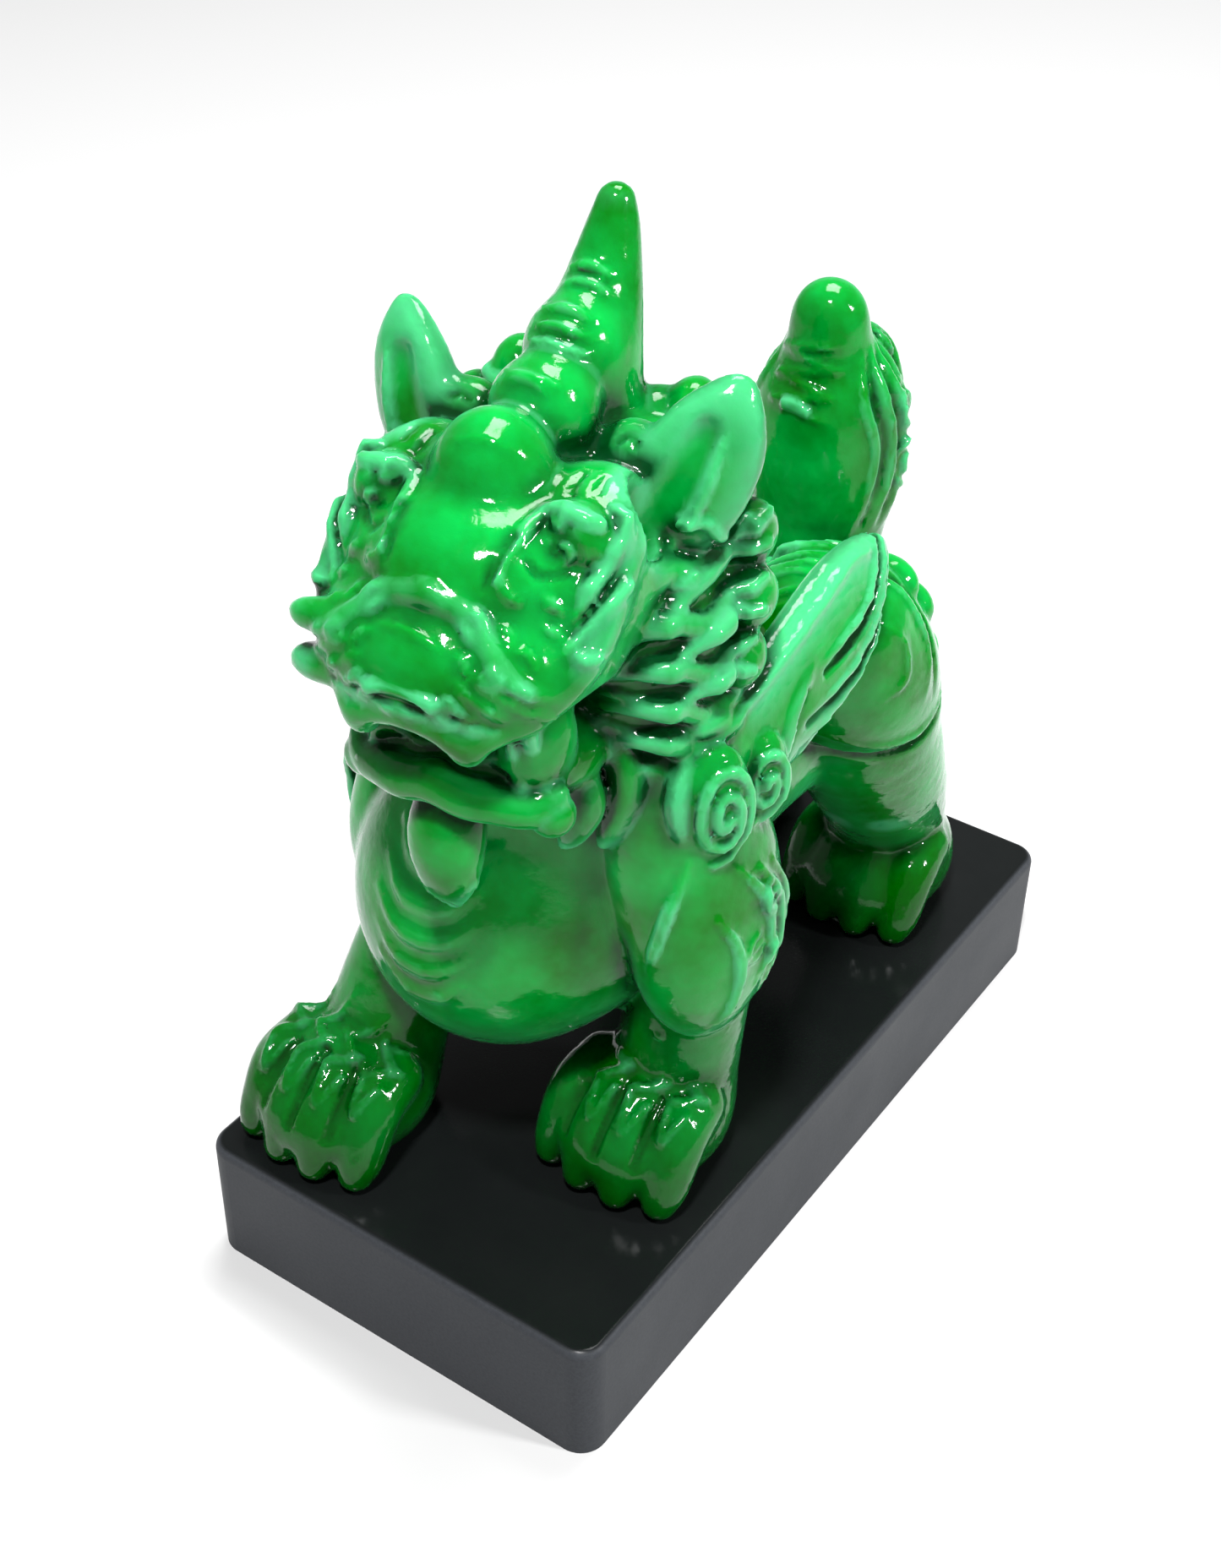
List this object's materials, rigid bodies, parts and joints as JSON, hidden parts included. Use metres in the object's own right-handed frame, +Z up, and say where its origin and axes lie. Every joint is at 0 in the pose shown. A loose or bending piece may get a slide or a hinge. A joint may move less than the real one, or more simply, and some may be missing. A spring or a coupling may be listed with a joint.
{
  "type": "foo dog statue",
  "caption": "Horned, winged guardian beast statuette in translucent green resin, walking, glued by its paws to a black rectangular block.",
  "frame": {"origin": "centre of the block's flat underside", "axes": "+Z up; the beast faces -Y along the block's length; +X is the beast's own left side"},
  "size_m": [0.0516, 0.1, 0.1184],
  "materials": {
    "green_resin": "polished translucent",
    "black_block": "satin",
    "clear_adhesive": "glossy"
  },
  "bodies": {
    "root": {"figure": "green_resin", "base": "black_block", "adhesive_front_left": "clear_adhesive", "adhesive_front_right": "clear_adhesive", "adhesive_rear_left": "clear_adhesive", "adhesive_rear_right": "clear_adhesive"}
  },
  "joints": []
}
